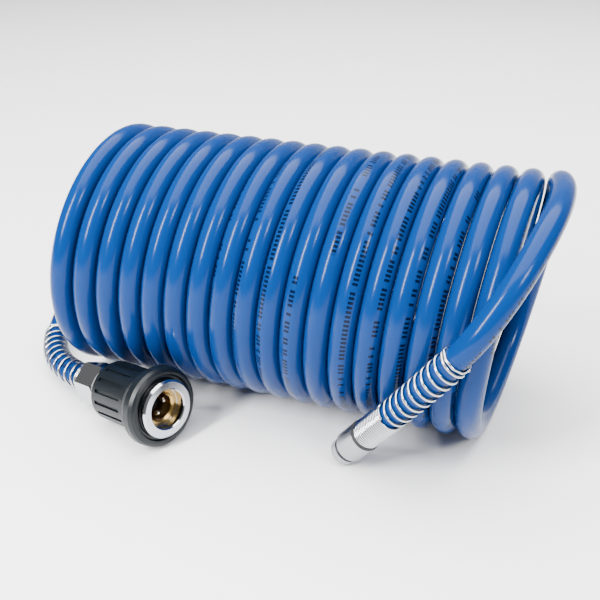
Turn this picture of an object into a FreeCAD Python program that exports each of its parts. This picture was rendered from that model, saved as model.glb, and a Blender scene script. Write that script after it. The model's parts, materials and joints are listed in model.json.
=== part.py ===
"""Coiled air hose: a recoiling hose with a push-in coupler on one end and a plug on the other.

Frame: the coil lies along X with the coupler's end at -X, the floor is z = 0, and both fittings
lie in front of the coil, at -Y. Millimetres.
"""
import FreeCAD
import Part
import math
import os

V = FreeCAD.Vector

# Hose and coil
hose_r = 6.0
hose_bore_r = 4.0
coil_mean_r = 62.0
coil_left_x = -130.0
coil_right_x = 99.6
coil_lean = 0.143          # how far the turns lean towards +X, per unit of height
coil_outer_r = coil_mean_r + hose_r
coil_axis_z = coil_outer_r

# Coupler: the s axis starts at its face and runs out of its mouth
coupler_face_x = -49.3
coupler_stand_off = 14.3   # of its face in front of the coil
coupler_turn = 19.0        # degrees from +X towards -Y
socket_bore_r = 6.85       # guides the mating plug's nipple
socket_r = 9.8
socket_front = -5.5
socket_lead_in = 1.0
guide_back = -11.0
lock_bore_r = 7.25
socket_back = -49.0
mouth_r = 10.0
nose_ring_r = 14.8
nose_ring_back = -8.0
nose_edge = 1.0
mouth_edge = 0.6
nose_notch = (3.2, 1.4, 0.6)
nose_notch_turn = 20.0
seal_r = 6.9
seal_groove_r = 8.45
seal_front = -17.6
seal_back = -20.0
seat_front = -23.0
seat_back = -25.5
seat_hole_r = 4.4
chamber_r = 7.6
valve_nose_length = 6.0    # in front of the seat
valve_head_length = 3.0
valve_seal_length = 1.2
valve_clearance = 0.6      # of its head in the chamber and of its nose in the seat
valve_seal_inset = 0.3
valve_spring_inset = 1.1
valve_spring_wire = 1.0
ball_r = 2.0
ball_count = 6
ball_s = -13.2
ball_centre_r = 7.8
sleeve_land_front = -13.6  # the sleeve holds the balls in up to here
sleeve_release_r = 11.7    # its front opens to this, where the balls let go
sleeve_wall_r = 13.4
sleeve_back = -44.0
spring_room_r = 12.0
spring_front = -20.0
spring_collar_front = -40.0
spring_collar_back = -45.0
spring_wire_r = 0.7
grip_r = 15.6
grip_front = -3.2
grip_edge = 1.5
flange_r = 20.4
flange_back = -9.5
flange_front_length = 2.6  # of its rounded front edge
flange_front_fall = 0.8
rim_outer_step = 2.2       # from the flange's radius in to the flat rim
rim_inner_step = 3.4
lip_step = 4.2
lip_depth = 1.2
shoulder_step = 1.8
shoulder_front = -11.5
shoulder_back = -17.0
slot_count = 16
slot_width = 1.9
slot_depth = 1.0
slot_front = -20.0
slot_back = -40.0
hex_across = 21.0
hex_turn = 47.0            # degrees to its first corner
hex_trim = 0.3             # how far its end bevels cut into the flats
hex_bevel_rise = 0.6
hex_back = -64.5
spigot_length = 7.0
hose_socket_depth = 8.0
stem_in_adapter = 4.0      # of the stem past the hose's end
clamp_length = 6.5
washer_r = 11.0
fit = 0.1                  # running clearance between sliding pieces
gap = 0.3                  # clearance between pieces that only pass each other
spare = 5.0                # how far cutting shapes reach past what they cut

# Plug: the q axis starts at its tip and runs out of the hose
plug_tip_x = 34.7
plug_tip_inset = 6.2       # behind the coil's front, where the coil curves away above it
plug_tip_z = 4.42
nipple_r = 6.8
nipple_length = 5.0
neck_r = 5.4
neck_length = 2.6
thread_length = 3.0        # of the nipple inside the nut
plug_nut_r = 7.9
plug_nut_length = 14.4
plug_washer_length = 1.6
plug_washer_inset = 0.2
nipple_edge = 1.0
nut_edge = 0.8
nut_wall = 1.0             # more than the bore, where the stem passes
plug_bore_r = 3.0
closed_coil_length = 21.5
plug_guard_share = 0.52    # of the hose's last bend that the guard covers
plug_guard_end_share = 0.08

guard_inner_r = hose_r + 0.2
guard_outer_r = hose_r + 1.6
stem_r = 4.0
stem_bore_r = 2.6
stem_length = 20.0
stem_shank = 4.0
barb_ramp = 0.8            # of each barb's length
barb_count = 4
barb_step = 0.4

# Where the hose isn't coiled it passes these points
coupler_tail_points = [
    V(-148.0, -42.0, 8.0),
    V(-164.0, -21.0, 8.0),
    V(-174.0, 5.0, 14.0),
    V(-174.0, 31.0, 28.0),
    V(-162.0, 51.0, 48.0),
    V(-143.0, 60.0, 70.0),
    V(-121.0, 57.0, 90.0),
]
coupler_straight = 12.5    # of hose from the clamp to its first bend's point
guard_end_share = 0.5      # of the way from the second bend's point to the third's
plug_tail_points = [
    V(114.6, 26.0, 124.5),
    V(120.0, -7.0, 132.0),
    V(119.0, -41.0, 127.0),
    V(109.0, -71.0, 106.0),
    V(90.0, -83.0, 75.0),
]


# The coupler rests on its flange and on the back edge of its grip
turn = math.radians(coupler_turn)
rise = math.atan((flange_r - grip_r) / (flange_back - sleeve_back - grip_edge))
coupler_out = V(math.cos(turn) * math.cos(rise), -math.sin(turn) * math.cos(rise), math.sin(rise))
coupler_face_z = flange_r * math.cos(rise) - flange_back * math.sin(rise)
coupler_face = V(coupler_face_x, -coil_outer_r - coupler_stand_off, coupler_face_z)
plug_tip = V(plug_tip_x, plug_tip_inset - coil_outer_r, plug_tip_z)
plug_out = (plug_tip - plug_tail_points[-1]).normalize()

shapes = {}


def turned(profile):
    """A solid of revolution about Z from (radius, height) points."""
    points = [V(r, 0, h) for r, h in profile]
    wire = Part.makePolygon(points + [points[0]])
    return Part.Face(wire).revolve(V(0, 0, 0), V(0, 0, 1), 360)


def ring(inner, outer, low, high):
    return turned([(inner, low), (outer, low), (outer, high), (inner, high)])


def rod(radius, low, high):
    return Part.makeCylinder(radius, high - low, V(0, 0, low))


def placed(shape, origin, direction):
    """Move a shape made about Z so that Z runs along direction from origin."""
    turn = FreeCAD.Rotation(V(0, 0, 1), direction)
    moved = shape.copy()
    moved.Placement = FreeCAD.Placement(origin, turn).multiply(shape.Placement)
    return moved


def on_coupler(name, shape):
    shapes[name] = placed(shape, coupler_face, coupler_out)


def on_plug(name, shape):
    shapes[name] = placed(shape, plug_tip, plug_out)


def at_coupler(s):
    return coupler_face + coupler_out * s


def at_plug(q):
    return plug_tip + plug_out * q


def route_edges(points, name):
    """Straight runs joined by tangent arcs, each arc as large as its two runs allow."""
    edges = []
    start = points[0]
    for before, corner, after in zip(points, points[1:], points[2:]):
        into = corner - before
        out = after - corner
        half = into.getAngle(out) / 2
        reach = 0.45 * min(into.Length, out.Length)
        into.normalize()
        out.normalize()
        first = corner - into * reach
        last = corner + out * reach
        radius = reach / math.tan(half)
        print(name, "radius", round(radius, 1), "turn", round(math.degrees(2 * half), 1))
        to_centre = (out - into).normalize()
        centre = corner + to_centre * (radius / math.cos(half))
        middle = centre - to_centre * radius
        edges.append(Part.LineSegment(start, first).toShape())
        edges.append(Part.Arc(first, middle, last).toShape())
        start = last
    edges.append(Part.LineSegment(start, points[-1]).toShape())
    return edges


def tube_along(edges, outer, inner):
    """A hollow tube along edges that follow each other."""
    start = edges[0].valueAt(edges[0].FirstParameter)
    heading = edges[0].tangentAt(edges[0].FirstParameter)
    solids = []
    for radius in (outer, inner):
        section = Part.Wire([Part.makeCircle(radius, start, heading)])
        solids.append(Part.Wire(edges).makePipeShell([section], True, True))
    tube = solids[0].cut(solids[1])
    length = sum(edge.Length for edge in edges)
    expected = math.pi * (outer ** 2 - inner ** 2) * length
    print("tube length", round(length, 1), "volume over expected", round(tube.Volume / expected, 4))
    return tube


def coil_solid():
    """The coil's outer shape: a thick tube along X whose ends lean with the turns."""
    outer = coil_outer_r
    inner = coil_mean_r - hose_r
    reach = coil_lean * outer + spare
    low = coil_left_x - reach
    length = coil_right_x - coil_left_x + 2 * reach
    centre = V(low, 0, coil_axis_z)
    along = V(1, 0, 0)
    tube = Part.makeCylinder(outer, length, centre, along)
    tube = tube.cut(Part.makeCylinder(inner, length, centre, along))
    top = outer + spare
    corners = [
        V(coil_left_x - coil_lean * top, -top, coil_axis_z - top),
        V(coil_right_x - coil_lean * top, -top, coil_axis_z - top),
        V(coil_right_x + coil_lean * top, -top, coil_axis_z + top),
        V(coil_left_x + coil_lean * top, -top, coil_axis_z + top),
    ]
    slab = Part.Face(Part.makePolygon(corners + [corners[0]])).extrude(V(0, 2 * top, 0))
    return tube.common(slab)


def hex_prism(across, low, high):
    corner = across / math.sqrt(3)
    points = []
    for i in range(6):
        angle = math.radians(60 * i + hex_turn)
        points.append(V(corner * math.cos(angle), corner * math.sin(angle), low))
    prism = Part.Face(Part.makePolygon(points + [points[0]])).extrude(V(0, 0, high - low))
    bevel = corner - across / 2 + hex_trim
    rise = hex_bevel_rise * bevel
    blank_r = corner + fit
    turned_blank = turned([
        (0, low), (corner - bevel, low), (blank_r, low + rise),
        (blank_r, high - rise), (corner - bevel, high), (0, high),
    ])
    return prism.common(turned_blank)


def stem():
    """A barbed stem about Z that fills the hose's bore; its plain shank ends at z = 0."""
    tooth = (stem_length - stem_shank) / barb_count
    profile = [(stem_bore_r, -stem_length), (stem_r - barb_step, -stem_length)]
    for i in range(barb_count):
        base = -stem_length + i * tooth
        profile.append((stem_r, base + barb_ramp * tooth))
        profile.append((stem_r - barb_step, base + tooth))
    profile += [(stem_r - barb_step, 0), (stem_bore_r, 0)]
    return turned(profile)


def coupler_route():
    """The hose from its end in the hex adapter to the coil's wall."""
    inside = at_coupler(hex_back + hose_socket_depth)
    bend = at_coupler(hex_back - clamp_length - coupler_straight)
    return [inside, bend] + coupler_tail_points


def plug_route():
    """The hose from the coil's wall to its end in the plug's nut."""
    nut_back = -nipple_length - neck_length - plug_nut_length
    return plug_tail_points + [at_plug(nut_back + hose_socket_depth)]


def make_hose():
    shapes["hose_coil"] = coil_solid()
    edges = route_edges(coupler_route(), "coupler tail")
    shapes["hose_tail_coupler"] = tube_along(edges, hose_r, hose_bore_r)
    edges = route_edges(plug_route(), "plug tail")
    shapes["hose_tail_plug"] = tube_along(edges, hose_r, hose_bore_r)


def make_coupler_body():
    guide_front = socket_front - socket_lead_in
    socket = turned([
        (lock_bore_r, seat_front),
        (lock_bore_r, guide_back),
        (socket_bore_r, guide_back),
        (socket_bore_r, guide_front),
        (socket_bore_r + socket_lead_in, socket_front),
        (socket_r, socket_front),
        (socket_r, spring_collar_front),
        (spring_room_r - fit, spring_collar_front),
        (spring_room_r - fit, spring_collar_back),
        (socket_r, spring_collar_back),
        (socket_r, socket_back),
        (chamber_r, socket_back),
        (chamber_r, seat_back),
        (seat_hole_r, seat_back),
        (seat_hole_r, seat_front),
    ])
    pocket = Part.makeCylinder(ball_r + fit, 2 * socket_r, V(0, 0, ball_s), V(1, 0, 0))
    for i in range(ball_count):
        hole = pocket.copy()
        hole.rotate(V(0, 0, 0), V(0, 0, 1), 360.0 * i / ball_count)
        socket = socket.cut(hole)
    groove = ring(seal_r, seal_groove_r, seal_back, seal_front)
    on_coupler("coupler_socket_body", socket.cut(groove))
    on_coupler("coupler_plug_seal", groove)
    nose = turned([
        (socket_r, nose_ring_back),
        (nose_ring_r, nose_ring_back),
        (nose_ring_r, -nose_edge),
        (nose_ring_r - nose_edge, 0),
        (mouth_r + mouth_edge, 0),
        (mouth_r, -mouth_edge),
        (mouth_r, socket_front),
        (socket_r, socket_front),
    ])
    long, wide, deep = nose_notch
    notch = Part.makeBox(long, wide, deep, V(nose_ring_r - long, -wide / 2, -deep))
    notch.rotate(V(0, 0, 0), V(0, 0, 1), nose_notch_turn)
    on_coupler("coupler_nose_ring", nose.cut(notch))


def make_coupler_balls():
    for i in range(ball_count):
        angle = math.radians(360.0 * i / ball_count)
        centre = V(ball_centre_r * math.cos(angle), ball_centre_r * math.sin(angle), ball_s)
        on_coupler("coupler_ball_%d" % (i + 1), Part.makeSphere(ball_r).translated(centre))


def make_coupler_sleeve():
    front = nose_ring_back - gap
    sleeve = turned([
        (socket_r + fit, spring_front),
        (socket_r + fit, sleeve_land_front),
        (sleeve_release_r, front),
        (sleeve_wall_r, front),
        (sleeve_wall_r, sleeve_back),
        (spring_room_r, sleeve_back),
        (spring_room_r, spring_front),
    ])
    on_coupler("coupler_sleeve", sleeve)
    nose_room_r = nose_ring_r + gap
    lip_back = grip_front - lip_depth
    grip = turned([
        (sleeve_wall_r, sleeve_back),
        (grip_r - grip_edge, sleeve_back),
        (grip_r, sleeve_back + grip_edge),
        (grip_r, shoulder_back),
        (flange_r - shoulder_step, shoulder_front),
        (flange_r, flange_back),
        (flange_r, grip_front - flange_front_length),
        (flange_r - flange_front_fall, grip_front - flange_front_fall),
        (flange_r - rim_outer_step, grip_front),
        (flange_r - rim_inner_step, grip_front),
        (flange_r - lip_step, lip_back),
        (nose_room_r, lip_back),
        (nose_room_r, front),
        (sleeve_wall_r, front),
    ])
    corner = V(grip_r - slot_depth, -slot_width / 2, slot_back)
    slot = Part.makeBox(3 * slot_depth, slot_width, slot_front - slot_back, corner)
    for i in range(slot_count):
        cut = slot.copy()
        cut.rotate(V(0, 0, 0), V(0, 0, 1), 360.0 * i / slot_count)
        grip = grip.cut(cut)
    on_coupler("coupler_grip", grip)
    middle = (socket_r + spring_room_r) / 2
    low = spring_collar_front + fit
    high = spring_front - fit
    on_coupler("coupler_sleeve_spring", ring(middle - spring_wire_r, middle + spring_wire_r, low, high))


def make_coupler_valve():
    front = seat_back - fit
    seal_back_s = front - valve_seal_length
    head_back = seal_back_s - valve_head_length
    head_r = chamber_r - valve_clearance
    nose_r = seat_hole_r - valve_clearance
    nose_front = seat_front + valve_nose_length
    poppet = turned([
        (0, head_back), (head_r, head_back), (head_r, seal_back_s),
        (nose_r, seal_back_s), (nose_r, nose_front), (0, nose_front),
    ])
    on_coupler("coupler_valve", poppet)
    on_coupler("coupler_valve_seal", ring(nose_r, head_r - valve_seal_inset, seal_back_s, front))
    back = socket_back + spigot_length
    outer = head_r - valve_spring_inset
    inner = outer - valve_spring_wire
    on_coupler("coupler_valve_spring", ring(inner, outer, back + fit, head_back - fit))


def make_coupler_back():
    body = hex_prism(hex_across, hex_back, socket_back)
    spigot = rod(chamber_r, socket_back, socket_back + spigot_length)
    body = body.fuse(spigot).removeSplitter()
    body = body.cut(rod(stem_r, hex_back, socket_back + spigot_length))
    body = body.cut(rod(hose_r, hex_back, hex_back + hose_socket_depth))
    on_coupler("coupler_hex_adapter", body)
    on_coupler("coupler_washer", ring(socket_r, washer_r, socket_back, spring_collar_back))
    barbed = stem()
    barbed.translate(V(0, 0, hex_back + hose_socket_depth + stem_in_adapter))
    on_coupler("coupler_hose_stem", barbed)
    low = hex_back - clamp_length
    on_coupler("coupler_guard_clamp", ring(hose_r, guard_outer_r, low, hex_back))


def make_coupler_guard():
    """The sleeve that the guard's wire turns fill, along the hose's own bends."""
    edges = route_edges(coupler_route(), "coupler guard")[:6]
    start = at_coupler(hex_back - clamp_length)
    edges[0] = Part.LineSegment(start, edges[1].valueAt(edges[1].FirstParameter)).toShape()
    second = coupler_tail_points[1]
    third = coupler_tail_points[2]
    bend_end = edges[5].valueAt(edges[5].LastParameter)
    edges.append(Part.LineSegment(bend_end, second + (third - second) * guard_end_share).toShape())
    shapes["coupler_bend_guard"] = tube_along(edges, guard_outer_r, guard_inner_r)


def part_of(edge, start, end):
    """The stretch of an edge between two shares of its length."""
    first = edge.FirstParameter
    whole = edge.LastParameter - first
    return edge.Curve.toShape(first + whole * start, first + whole * end)


def make_plug():
    nut_front = -nipple_length - neck_length
    nut_back = nut_front - plug_nut_length
    thread_back = nut_front - thread_length
    nipple = turned([
        (plug_bore_r, thread_back), (nipple_r, thread_back), (nipple_r, nut_front),
        (neck_r, nut_front), (neck_r, -nipple_length), (nipple_r, -nipple_length),
        (nipple_r, -nipple_edge), (nipple_r - nipple_edge, 0), (plug_bore_r, 0),
    ])
    on_plug("plug_nipple", nipple)
    nut_bore_r = plug_bore_r + nut_wall
    nut = turned([
        (nut_bore_r, nut_back), (plug_nut_r, nut_back), (plug_nut_r, nut_front - nut_edge),
        (plug_nut_r - nut_edge, nut_front), (nipple_r, nut_front), (nipple_r, thread_back),
        (nut_bore_r, thread_back),
    ])
    nut = nut.cut(rod(hose_r, nut_back, nut_back + hose_socket_depth))
    on_plug("plug_nut", nut)
    barbed = stem()
    barbed.translate(V(0, 0, thread_back))
    on_plug("plug_hose_stem", barbed)
    shoulder = nut_back - plug_washer_length
    on_plug("plug_washer", ring(hose_r, plug_nut_r - plug_washer_inset, shoulder, nut_back))
    clamp_back = shoulder - closed_coil_length
    on_plug("plug_guard_clamp", ring(hose_r, guard_outer_r, clamp_back, shoulder))
    # The guard ends part way round the hose's last bend
    bend = route_edges(plug_route(), "plug guard")[-2]
    guard_from = 1 - plug_guard_share
    straight = Part.LineSegment(bend.valueAt(bend.LastParameter), at_plug(clamp_back)).toShape()
    open_turns = [part_of(bend, guard_from, 1), straight]
    shapes["plug_bend_guard"] = tube_along(open_turns, guard_outer_r, guard_inner_r)
    end_turns = [part_of(bend, guard_from - plug_guard_end_share, guard_from)]
    shapes["plug_guard_end"] = tube_along(end_turns, guard_outer_r, guard_inner_r)


make_hose()
make_coupler_body()
make_coupler_balls()
make_coupler_sleeve()
make_coupler_valve()
make_coupler_back()
make_coupler_guard()
make_plug()

# The origin is under the middle of the whole object's box, on the floor
box = FreeCAD.BoundBox()
for shape in shapes.values():
    box.add(shape.optimalBoundingBox(False, False))
shift = V(-box.Center.x, -box.Center.y, -box.ZMin)
print("shift", shift, "size", box.XLength, box.YLength, box.ZLength)

os.makedirs("parts", exist_ok=True)
for name, shape in shapes.items():
    moved = shape.copy()
    moved.translate(shift)
    solids = moved.Solids
    print(name, "solids", len(solids), "valid", moved.isValid(), "volume", round(moved.Volume, 1))
    (solids[0] if len(solids) == 1 else moved).exportStep("parts/%s.step" % name)
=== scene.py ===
"""Looks of the coiled air hose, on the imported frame. Metres, +Z up, the floor at z = 0."""

import json
import math

import bpy
import numpy as np
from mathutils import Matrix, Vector


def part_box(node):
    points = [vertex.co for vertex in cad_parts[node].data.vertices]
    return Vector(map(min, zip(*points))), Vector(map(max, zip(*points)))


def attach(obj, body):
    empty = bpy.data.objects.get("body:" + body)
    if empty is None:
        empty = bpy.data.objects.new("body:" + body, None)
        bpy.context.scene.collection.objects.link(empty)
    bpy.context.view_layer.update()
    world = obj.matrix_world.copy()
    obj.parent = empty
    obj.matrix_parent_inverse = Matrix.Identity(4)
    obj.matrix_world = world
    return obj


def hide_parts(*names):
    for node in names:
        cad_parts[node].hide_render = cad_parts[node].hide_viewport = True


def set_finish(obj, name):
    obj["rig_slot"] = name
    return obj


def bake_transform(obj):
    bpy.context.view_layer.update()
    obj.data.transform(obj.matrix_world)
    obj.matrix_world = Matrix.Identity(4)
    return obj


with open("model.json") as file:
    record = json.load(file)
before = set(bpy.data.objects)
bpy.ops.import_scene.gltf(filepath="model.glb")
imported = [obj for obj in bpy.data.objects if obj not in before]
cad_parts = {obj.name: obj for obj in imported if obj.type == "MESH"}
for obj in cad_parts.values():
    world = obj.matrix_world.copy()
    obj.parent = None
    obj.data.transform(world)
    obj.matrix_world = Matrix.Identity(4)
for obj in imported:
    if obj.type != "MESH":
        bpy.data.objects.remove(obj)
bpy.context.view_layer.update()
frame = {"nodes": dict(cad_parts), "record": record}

# Hose and coil, as the CAD part has them
HOSE_R = 0.006
TURN_R = 0.062
LEAN = 0.143
COIL_LEFT = -0.130
AXIS_Z = TURN_R + HOSE_R
COUPLER_TAIL = [
    (-0.148, -0.042, 0.008),
    (-0.164, -0.021, 0.008),
    (-0.174, 0.005, 0.014),
    (-0.174, 0.031, 0.028),
    (-0.162, 0.051, 0.048),
    (-0.143, 0.060, 0.070),
]
PLUG_TAIL = [
    (0.120, -0.007, 0.132),
    (0.119, -0.041, 0.127),
    (0.109, -0.071, 0.106),
    (0.090, -0.083, 0.075),
]

# The coil's turns
FIRST_TURN = 0.82
LAST_TURN = 18.95
MIDDLE_TURN = 10.5
HALF_COUNT = 8.5           # of turns, from the middle to an end
STRETCH_FROM = 1.0         # coil_shares runs from 0 to 1 between these turns
STRETCH_TO = 18.75
POINTS_PER_TURN = 12
SPLINE_REACH = 0.966       # how far out a quadratic spline on those points runs, of their own radius
PITCH = 0.01243
SPREAD = 0.00835           # scales how far single turns stand off an even pitch

# Fittings: distances behind the coupler's face and behind the plug's tip
SOCKET_MOUNT_DEPTH = 0.00875
HOSE_END_DEPTH = 0.0565
HOSE_BEND_DEPTH = 0.0835
HEX_BACK = 0.0645
COUPLER_CLAMP_LENGTH = 0.0065
COUPLER_GUARD_LENGTH = 0.066
NIPPLE_MOUNT_DEPTH = 0.003
PLUG_HOSE_END = 0.014
PLUG_SHOULDER = 0.0236
PLUG_CLAMP_LENGTH = 0.0215
PLUG_GUARD_LENGTH = 0.050
WIRE_R = 0.00065
WIRE_GAP = 0.0002          # between the hose and the wire round it
GUARD_R = HOSE_R + WIRE_R + WIRE_GAP
CLOSED_PITCH = 2.05 * WIRE_R
GUARD_TURNS = 10
GUARD_END_TURNS = 1.6      # that lie against each other at a guard's free end

# Springs: front and back behind the coupler's face, mean radius, wire radius
SLEEVE_SPRING = (0.0201, 0.0399, 0.0109, 0.0007)
VALVE_SPRING = (0.0299, 0.0419, 0.0054, 0.0005)
SPRING_TURNS = 5

HOSE_SIDES = 24
WIRE_SIDES = 8
STEPS_PER_SPAN = 8         # of the hose's spline
GUARD_STEPS = 28           # per turn of wire
SPRING_STEPS = 32

# The marks printed on the hose
PRINT_AROUND = 0.65        # where round the hose they lie, in turns
PRINT_HALF_WIDTH = 0.035
MARKS_PER_METRE = 500
MARK_HALF_SHARE = 0.31     # of a mark's cell
MARKS_LEFT_OUT = 0.25
GROUPS_PER_METRE = 2.1
GROUP_SHARE = 0.8


def coil_origin():
    """The part's own origin in the frame, found from the coil's box."""
    low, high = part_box("hose_coil")
    x = low[0] - (COIL_LEFT - LEAN * AXIS_Z)
    return Vector((x, (low[1] + high[1]) / 2, low[2]))


ORIGIN = coil_origin()
mounts = {m["name"]: m for m in frame["record"]["mounts"]}


def mount_line(name, depth):
    """The point at depth behind a mount's point, and the way its mating part leaves."""
    mount = mounts[name]
    out = Vector(mount["axis"]).normalized()
    return Vector(mount["pos_m"]) + out * depth, out


coupler_face, coupler_out = mount_line("coupler_socket", SOCKET_MOUNT_DEPTH)
plug_tip, plug_out = mount_line("plug_nipple", NIPPLE_MOUNT_DEPTH)


# ---------------------------------------------------------------- camera

def make_camera():
    """A normal lens, right of the coil's middle and above it."""
    yaw = math.radians(21.5)
    rise = math.radians(24.95)
    distance = 0.4709
    back = Vector((math.sin(yaw) * math.cos(rise), -math.cos(yaw) * math.cos(rise), math.sin(rise)))
    data = bpy.data.cameras.new("camera")
    data.lens = 53.2
    data.sensor_width = 36
    data.shift_x = -0.0375
    data.shift_y = -0.0433
    data.clip_start = 0.01
    data.clip_end = 20
    camera = bpy.data.objects.new("camera", data)
    camera.location = ORIGIN + Vector((0, 0, AXIS_Z)) + back * distance
    camera.rotation_mode = "QUATERNION"
    camera.rotation_quaternion = (-back).to_track_quat("-Z", "Y")
    bpy.context.collection.objects.link(camera)
    bpy.context.scene.camera = camera


# ---------------------------------------------------------------- lines and tubes

class Line:
    """Points along a curve, with their distances and frames that don't twist about it."""

    def __init__(self, points):
        self.points = np.array(points, float)
        steps = np.linalg.norm(np.diff(self.points, axis=0), axis=1)
        self.distance = np.concatenate([[0.0], np.cumsum(steps)])
        tangent = np.gradient(self.points, self.distance, axis=0)
        self.tangent = tangent / np.linalg.norm(tangent, axis=1)[:, None]
        self.normal = self.carried_normals()
        self.side = np.cross(self.tangent, self.normal)

    def carried_normals(self):
        """Each normal is the one before it, turned only as far as the curve turns."""
        first = np.cross(self.tangent[0], (0.0, 0.0, 1.0))
        normals = [first / np.linalg.norm(first)]
        for before, after in zip(self.tangent, self.tangent[1:]):
            normal = normals[-1] - after * (normals[-1] @ after)
            normals.append(normal / np.linalg.norm(normal))
        return np.array(normals)

    def at(self, distance, values):
        """One of the line's lists of vectors, at these distances along it."""
        return np.stack([np.interp(distance, self.distance, values[:, i]) for i in range(3)], axis=1)

    def wound(self, start, end, radius, turns_at):
        """Points wound round the line; turns_at gives the number of turns at each distance."""
        steps = int(abs(turns_at(end) - turns_at(start)) * GUARD_STEPS)
        distance = np.linspace(start, end, steps + 2)
        angle = 2 * math.pi * np.array([turns_at(d) for d in distance])
        centre = self.at(distance, self.points)
        normal = self.at(distance, self.normal) * np.cos(angle)[:, None]
        side = self.at(distance, self.side) * np.sin(angle)[:, None]
        return centre + radius * (normal + side)


def spline_line(name, controls, steps):
    """The smooth line of a NURBS curve on these control points."""
    curve = bpy.data.curves.new(name, "CURVE")
    curve.dimensions = "3D"
    spline = curve.splines.new("NURBS")
    spline.points.add(len(controls) - 1)
    for point, control in zip(spline.points, controls):
        point.co = (*control, 1.0)
    spline.order_u = 3
    spline.use_endpoint_u = True
    spline.resolution_u = steps
    holder = bpy.data.objects.new(name, curve)
    bpy.context.collection.objects.link(holder)
    mesh = bpy.data.meshes.new_from_object(holder)
    points = [tuple(v.co) for v in mesh.vertices]
    bpy.data.objects.remove(holder)
    bpy.data.meshes.remove(mesh)
    return Line(points)


def tube(name, line, radius, sides):
    """A round closed tube about a line, with a UV map of metres along it and turns round it."""
    rings = len(line.points)
    angle = 2 * math.pi * np.arange(sides) / sides
    across = np.cos(angle)[None, :, None] * line.normal[:, None]
    beside = np.sin(angle)[None, :, None] * line.side[:, None]
    spoke = across + beside
    vertices = (line.points[:, None] + radius * spoke).reshape(-1, 3)
    faces = []
    for ring in range(rings - 1):
        for i in range(sides):
            j = (i + 1) % sides
            here, there = ring * sides, (ring + 1) * sides
            faces.append((here + i, here + j, there + j, there + i))
    faces.append(tuple(range(sides))[::-1])
    faces.append(tuple((rings - 1) * sides + i for i in range(sides)))
    mesh = bpy.data.meshes.new(name)
    mesh.from_pydata(vertices.tolist(), [], faces)
    uv = mesh.uv_layers.new(name="UVMap")
    for polygon in mesh.polygons:
        whole = polygon.vertices[:]
        wraps = {v % sides for v in whole} == {0, sides - 1}
        for loop in polygon.loop_indices:
            vertex = mesh.loops[loop].vertex_index
            ring, i = divmod(vertex, sides)
            around = 1.0 if wraps and i == 0 else i / sides
            uv.data[loop].uv = (line.distance[ring], around)
    mesh.shade_smooth()
    piece = bpy.data.objects.new(name, mesh)
    bpy.context.collection.objects.link(piece)
    return piece


# ---------------------------------------------------------------- hose

def turn_x(k):
    """Where along the coil's axis turn k lies; the first turns stand open."""
    share = (k - MIDDLE_TURN) / HALF_COUNT
    spread = -0.038 * share ** 2 + 0.279 * share ** 3 - 0.167 * share ** 4
    return (k - MIDDLE_TURN) * PITCH + SPREAD * spread


def turn_point(k):
    """A control point of the coil at turn k, counted at its top."""
    radius = TURN_R / SPLINE_REACH
    angle = 2 * math.pi * k
    height = radius * math.cos(angle)
    return Vector((turn_x(k) + LEAN * height, -radius * math.sin(angle), AXIS_Z + height))


def hose_controls():
    """The hose's control points, from its end in the coupler to its end in the plug."""
    controls = [coupler_face - coupler_out * depth for depth in (HOSE_END_DEPTH, HOSE_BEND_DEPTH)]
    controls += [ORIGIN + Vector(p) for p in COUPLER_TAIL]
    count = round((LAST_TURN - FIRST_TURN) * POINTS_PER_TURN)
    for i in range(count + 1):
        k = FIRST_TURN + (LAST_TURN - FIRST_TURN) * i / count
        controls.append(ORIGIN + turn_point(k))
    controls += [ORIGIN + Vector(p) for p in PLUG_TAIL]
    controls.append(plug_tip - plug_out * PLUG_HOSE_END)
    return controls


def coil_shares(line):
    """How far along the coil each of the line's points is: 0 on the coupler's tail, 1 on the plug's."""
    ends = []
    for k in (STRETCH_FROM, STRETCH_TO):
        offset = line.points - np.array(ORIGIN + turn_point(k))
        ends.append(line.distance[np.argmin(np.linalg.norm(offset, axis=1))])
    first, last = ends
    return np.clip((line.distance - first) / (last - first), 0, 1)


def make_hose():
    line = spline_line("hose_line", hose_controls(), STEPS_PER_SPAN)
    hose = tube("hose", line, HOSE_R, HOSE_SIDES)
    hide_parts("hose_coil", "hose_tail_coupler", "hose_tail_plug")
    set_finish(hose, "hose_blue")
    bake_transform(hose)
    # Each ring's share of the way along the coil, worked out here but not used
    shares = np.repeat(coil_shares(line), HOSE_SIDES).astype(np.float32)
    return hose, line


# ---------------------------------------------------------------- bend guards

def wire_round(name, line, start, end, turns_at):
    """A spring wire wound round the hose from start to end, in metres along it."""
    wire = Line(line.wound(start, end, GUARD_R, turns_at))
    return tube(name, wire, WIRE_R, WIRE_SIDES)


def open_guard(name, line, start, end):
    """Evenly opened turns whose last few, at end, lie against each other."""
    opened = (end - start) * (1 - abs(GUARD_END_TURNS * CLOSED_PITCH / (end - start)))

    def turns_at(distance):
        gone = distance - start
        if abs(gone) <= abs(opened):
            return GUARD_TURNS * gone / opened
        return GUARD_TURNS + (abs(gone) - abs(opened)) / CLOSED_PITCH

    return wire_round(name, line, start, end, turns_at)


def closed_guard(name, line, start, end):
    """Turns wound against each other."""
    return wire_round(name, line, start, end, lambda distance: (distance - start) / CLOSED_PITCH)


def nearest(line, point):
    """The distance along the line of its place that is nearest to this point."""
    run = np.diff(line.points, axis=0)
    offset = np.array(point) - line.points[:-1]
    share = np.clip((offset * run).sum(axis=1) / (run * run).sum(axis=1), 0, 1)
    near = int(np.argmin(np.linalg.norm(offset - share[:, None] * run, axis=1)))
    return float(line.distance[near] + share[near] * np.linalg.norm(run[near]))


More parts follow.
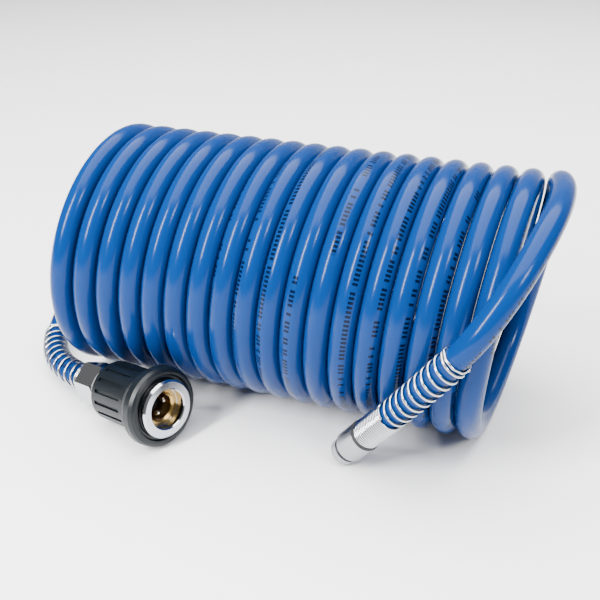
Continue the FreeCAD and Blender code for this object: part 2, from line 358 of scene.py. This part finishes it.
def make_guards(line):
    made = []
    start = nearest(line, coupler_face - coupler_out * HEX_BACK)
    end = start + COUPLER_CLAMP_LENGTH
    clamp = closed_guard("coupler_clamp_turns", line, start, end)
    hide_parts("coupler_guard_clamp")
    guard = open_guard("coupler_guard_turns", line, end, end + COUPLER_GUARD_LENGTH)
    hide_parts("coupler_bend_guard")
    made += [(clamp, "hose_and_coupler"), (guard, "hose_and_coupler")]

    start = nearest(line, plug_tip - plug_out * PLUG_SHOULDER)
    end = start - PLUG_CLAMP_LENGTH
    clamp = closed_guard("plug_clamp_turns", line, start, end)
    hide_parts("plug_guard_clamp")
    guard = open_guard("plug_guard_turns", line, end, end - PLUG_GUARD_LENGTH)
    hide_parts("plug_bend_guard", "plug_guard_end")
    made += [(clamp, "plug_end"), (guard, "plug_end")]
    for piece, body in made:
        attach(piece, body)
        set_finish(piece, "spring_steel")
    return [piece for piece, body in made]


def coil_spring(name, node, spring):
    """A spring about the coupler's axis.

    Its turns run evenly from its front depth to its back depth behind the coupler's face.
    """
    front, back, radius, wire = spring
    share = np.linspace(0, 1, SPRING_TURNS * SPRING_STEPS + 1)
    axis = np.array(coupler_out)
    across = np.cross(axis, (0.0, 0.0, 1.0))
    across /= np.linalg.norm(across)
    other = np.cross(axis, across)
    angle = 2 * math.pi * SPRING_TURNS * share
    depth = front + wire + (back - front - 2 * wire) * share
    centre = np.array(coupler_face) - depth[:, None] * axis
    spoke = np.cos(angle)[:, None] * across + np.sin(angle)[:, None] * other
    points = centre + radius * spoke
    piece = tube(name, Line(points), wire, WIRE_SIDES)
    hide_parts(node)
    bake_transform(piece)
    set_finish(piece, "spring_steel")
    return piece


# ---------------------------------------------------------------- materials

class Value:
    """A shader value; arithmetic on it adds Math nodes."""

    def __init__(self, tree, socket):
        self.tree = tree
        self.socket = socket

    def math(self, operation, other=None):
        node = self.tree.nodes.new("ShaderNodeMath")
        node.operation = operation
        self.tree.links.new(self.socket, node.inputs[0])
        if isinstance(other, Value):
            self.tree.links.new(other.socket, node.inputs[1])
        elif other is not None:
            node.inputs[1].default_value = other
        return Value(self.tree, node.outputs[0])

    def __add__(self, other):
        return self.math("ADD", other)

    def __sub__(self, other):
        return self.math("SUBTRACT", other)

    def __mul__(self, other):
        return self.math("MULTIPLY", other)

    def __gt__(self, other):
        return self.math("GREATER_THAN", other)

    def __lt__(self, other):
        return self.math("LESS_THAN", other)

    def floor(self):
        return self.math("FLOOR")

    def fraction(self):
        return self.math("FRACT")

    def distance_to(self, value):
        return (self - value).math("ABSOLUTE")


class Finish:
    """A material with one Principled shader."""

    def __init__(self, name, color, roughness, metallic=0.0, specular=0.5):
        self.material = bpy.data.materials.new(name)
        self.material.use_nodes = True
        self.tree = self.material.node_tree
        self.shader = self.tree.nodes["Principled BSDF"]
        self.shader.inputs["Base Color"].default_value = (*color, 1)
        self.shader.inputs["Roughness"].default_value = roughness
        self.shader.inputs["Metallic"].default_value = metallic
        self.shader.inputs["Specular IOR Level"].default_value = specular

    def node(self, kind, **inputs):
        made = self.tree.nodes.new(kind)
        for name, value in inputs.items():
            made.inputs[name.replace("_", " ")].default_value = value
        return made

    def coordinate(self, output):
        return self.node("ShaderNodeTexCoord").outputs[output]

    def noise(self, scale):
        made = self.node("ShaderNodeTexNoise", Scale=scale, Detail=3.0)
        self.tree.links.new(self.coordinate("Object"), made.inputs["Vector"])
        return Value(self.tree, made.outputs["Fac"])

    def set(self, name, value):
        self.tree.links.new(value.socket, self.shader.inputs[name])

    def bump(self, height, strength):
        made = self.node("ShaderNodeBump", Strength=strength, Distance=0.0001)
        self.tree.links.new(height.socket, made.inputs["Height"])
        self.tree.links.new(made.outputs["Normal"], self.shader.inputs["Normal"])

    def mix_color(self, factor, first, second):
        made = self.tree.nodes.new("ShaderNodeMix")
        made.data_type = "RGBA"
        self.tree.links.new(factor.socket, made.inputs["Factor"])
        made.inputs["A"].default_value = (*first, 1)
        made.inputs["B"].default_value = (*second, 1)
        self.tree.links.new(made.outputs["Result"], self.shader.inputs["Base Color"])


def hose_finish():
    """Glossy blue tube with a row of small dark marks printed along it."""
    blue = (0.0, 0.026, 0.135)
    ink = (0.001, 0.003, 0.008)
    finish = Finish("hose_blue", blue, 0.2, specular=0.14)
    split = finish.node("ShaderNodeSeparateXYZ")
    finish.tree.links.new(finish.coordinate("UV"), split.inputs[0])
    along = Value(finish.tree, split.outputs[0])
    around = Value(finish.tree, split.outputs[1])
    # Evenly spaced marks, some left out, in long groups
    cell = (along * MARKS_PER_METRE).floor()
    white = finish.node("ShaderNodeTexWhiteNoise")
    white.noise_dimensions = "1D"
    finish.tree.links.new(cell.socket, white.inputs["W"])
    kept = Value(finish.tree, white.outputs["Value"]) > MARKS_LEFT_OUT
    width = (along * MARKS_PER_METRE).fraction().distance_to(0.5) < MARK_HALF_SHARE
    group = (along * GROUPS_PER_METRE).fraction() < GROUP_SHARE
    band = around.distance_to(PRINT_AROUND) < PRINT_HALF_WIDTH
    mark = kept * width * group * band
    finish.mix_color(mark * 0.92, blue, ink)
    finish.set("Roughness", finish.noise(30) * 0.05 + 0.17)
    return finish.material


def metal_finish(name, color, roughness, grain=0.0):
    finish = Finish(name, color, roughness, metallic=1.0)
    finish.set("Roughness", finish.noise(220) * 0.12 + (roughness - 0.06))
    if grain:
        finish.bump(finish.noise(900), grain)
    return finish.material


def dull_finish(name, color, roughness):
    finish = Finish(name, color, roughness, specular=0.3)
    finish.set("Roughness", finish.noise(160) * 0.12 + (roughness - 0.06))
    finish.bump(finish.noise(1400), 0.15)
    return finish.material


def make_finishes():
    return {
        "hose_blue": hose_finish(),
        "rubber_black": dull_finish("rubber_black", (0.002, 0.004, 0.006), 0.38),
        "chrome": metal_finish("chrome", (0.50, 0.51, 0.53), 0.12),
        "zinc_steel": metal_finish("zinc_steel", (0.36, 0.37, 0.39), 0.2, 0.05),
        "spring_steel": metal_finish("spring_steel", (0.52, 0.53, 0.55), 0.18),
        "brass": metal_finish("brass", (0.42, 0.27, 0.09), 0.25),
        "seal_rubber": dull_finish("seal_rubber", (0.02, 0.02, 0.02), 0.6),
        "ball_steel": metal_finish("ball_steel", (0.75, 0.75, 0.77), 0.10),
        "valve_plastic": dull_finish("valve_plastic", (0.06, 0.055, 0.05), 0.5),
        "washer_fibre": dull_finish("washer_fibre", (0.2, 0.2, 0.2), 0.7),
    }


def paint(pieces, finishes):
    """Every CAD node and every made piece gets its slot's finish."""
    slots = {s["node"]: s["material_slot"] for s in frame["record"]["subparts"]}
    for name, node in frame["nodes"].items():
        node.data.materials.clear()
        node.data.materials.append(finishes[slots[name]])
    for piece in pieces:
        piece.data.materials.clear()
        piece.data.materials.append(finishes[piece["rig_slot"]])


# ---------------------------------------------------------------- floor and light

def area_light(name, place, target, size, power):
    data = bpy.data.lights.new(name, "AREA")
    data.shape = "RECTANGLE"
    data.size, data.size_y = size
    data.energy = power
    lamp = bpy.data.objects.new(name, data)
    lamp.location = place
    lamp.rotation_mode = "QUATERNION"
    lamp.rotation_quaternion = (Vector(target) - Vector(place)).to_track_quat("-Z", "Y")
    bpy.context.collection.objects.link(lamp)


def make_studio():
    """A white floor that curves up behind, three soft boxes and an even sky."""
    floor_finish = Finish("floor_white", (0.95, 0.95, 0.95), 0.9)
    profile = [(-9.0, 0.0), (2.0, 0.0)]
    for i in range(1, 9):
        angle = math.radians(90 * i / 8)
        profile.append((2.0 + 0.8 * math.sin(angle), 0.8 - 0.8 * math.cos(angle)))
    profile.append((2.8, 3.5))
    vertices = [(x, y, z) for y, z in profile for x in (-6.0, 10.0)]
    faces = [(2 * i, 2 * i + 1, 2 * i + 3, 2 * i + 2) for i in range(len(profile) - 1)]
    mesh = bpy.data.meshes.new("floor")
    mesh.from_pydata(vertices, [], faces)
    mesh.shade_smooth()
    mesh.materials.append(floor_finish.material)
    floor = bpy.data.objects.new("floor", mesh)
    bpy.context.collection.objects.link(floor)

    world = bpy.data.worlds.new("sky")
    world.use_nodes = True
    world.node_tree.nodes["Background"].inputs["Color"].default_value = (1, 1, 1, 1)
    world.node_tree.nodes["Background"].inputs["Strength"].default_value = 0.25
    bpy.context.scene.world = world
    middle = ORIGIN + Vector((0, 0, AXIS_Z))
    area_light("key", middle + Vector((-0.35, -0.75, 0.62)), middle, (0.12, 0.60), 26)
    area_light("fill", middle + Vector((0.9, -0.5, 0.8)), middle, (0.25, 0.25), 9)
    area_light("top", middle + Vector((0, 0.2, 1.5)), middle, (2.0, 2.0), 110)


# ---------------------------------------------------------------- the scene

make_camera()
hose, hose_line = make_hose()
guards = make_guards(hose_line)
springs = [
    coil_spring("sleeve_spring_turns", "coupler_sleeve_spring", SLEEVE_SPRING),
    coil_spring("valve_spring_turns", "coupler_valve_spring", VALVE_SPRING),
]
tuple(hose_line.points[0])
[tuple(p) for p in hose_line.points]
paint([hose, *guards, *springs], make_finishes())
make_studio()
